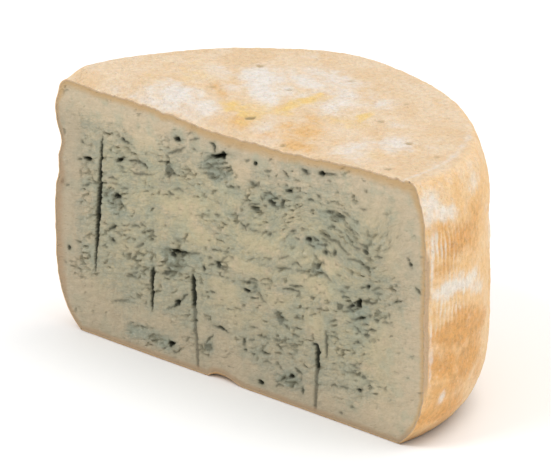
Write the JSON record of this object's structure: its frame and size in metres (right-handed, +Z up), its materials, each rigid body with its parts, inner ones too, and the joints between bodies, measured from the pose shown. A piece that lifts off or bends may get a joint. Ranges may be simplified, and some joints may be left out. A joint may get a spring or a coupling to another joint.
{
  "type": "half wheel of blue cheese",
  "caption": "Half wheel of blue-veined cheese resting on its base, with a craggy cut face, mould pockets and needle channels, for kitchen, dairy and shop scenes.",
  "frame": {"origin": "centre of the bounding box's bottom, on the flat base", "axes": "+X along the cut face, from the viewer's left to right; +Y from the cut face into the cheese; +Z up from the base; the cut face looks along -Y"},
  "size_m": [0.2836, 0.1414, 0.1549],
  "materials": {
    "paste": "moist cream paste with blue-green mould, inside a dry orange rind with white bloom"
  },
  "bodies": {
    "root": {"cheese": "paste"}
  },
  "joints": []
}
